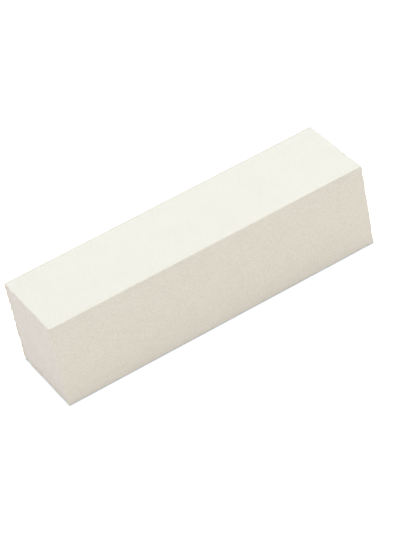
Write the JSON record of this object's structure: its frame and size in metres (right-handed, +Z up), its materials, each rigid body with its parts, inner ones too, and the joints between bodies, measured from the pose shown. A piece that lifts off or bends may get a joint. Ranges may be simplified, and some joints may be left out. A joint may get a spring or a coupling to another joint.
{
  "type": "nail buffer block",
  "caption": "Rectangular foam block with white coated abrasive strips bonded to its long faces and bare foam ends, for filing and buffing nails by hand.",
  "frame": {"origin": "middle of the underside, on the surface that the block rests on", "axes": "+X runs along the block, +Z is up, and the front face looks along -Y"},
  "size_m": [0.095, 0.0244, 0.026],
  "materials": {
    "foam": "matte",
    "adhesive": "satin",
    "paper": "matte",
    "abrasive": "matte"
  },
  "bodies": {
    "root": {"foam_core": "foam", "adhesive_film_top": "adhesive", "adhesive_film_bottom": "adhesive", "adhesive_film_front": "adhesive", "adhesive_film_back": "adhesive", "backing_paper_top": "paper", "backing_paper_bottom": "paper", "backing_paper_front": "paper", "backing_paper_back": "paper", "abrasive_coat_top": "abrasive", "abrasive_coat_bottom": "abrasive", "abrasive_coat_front": "abrasive", "abrasive_coat_back": "abrasive"}
  },
  "joints": []
}
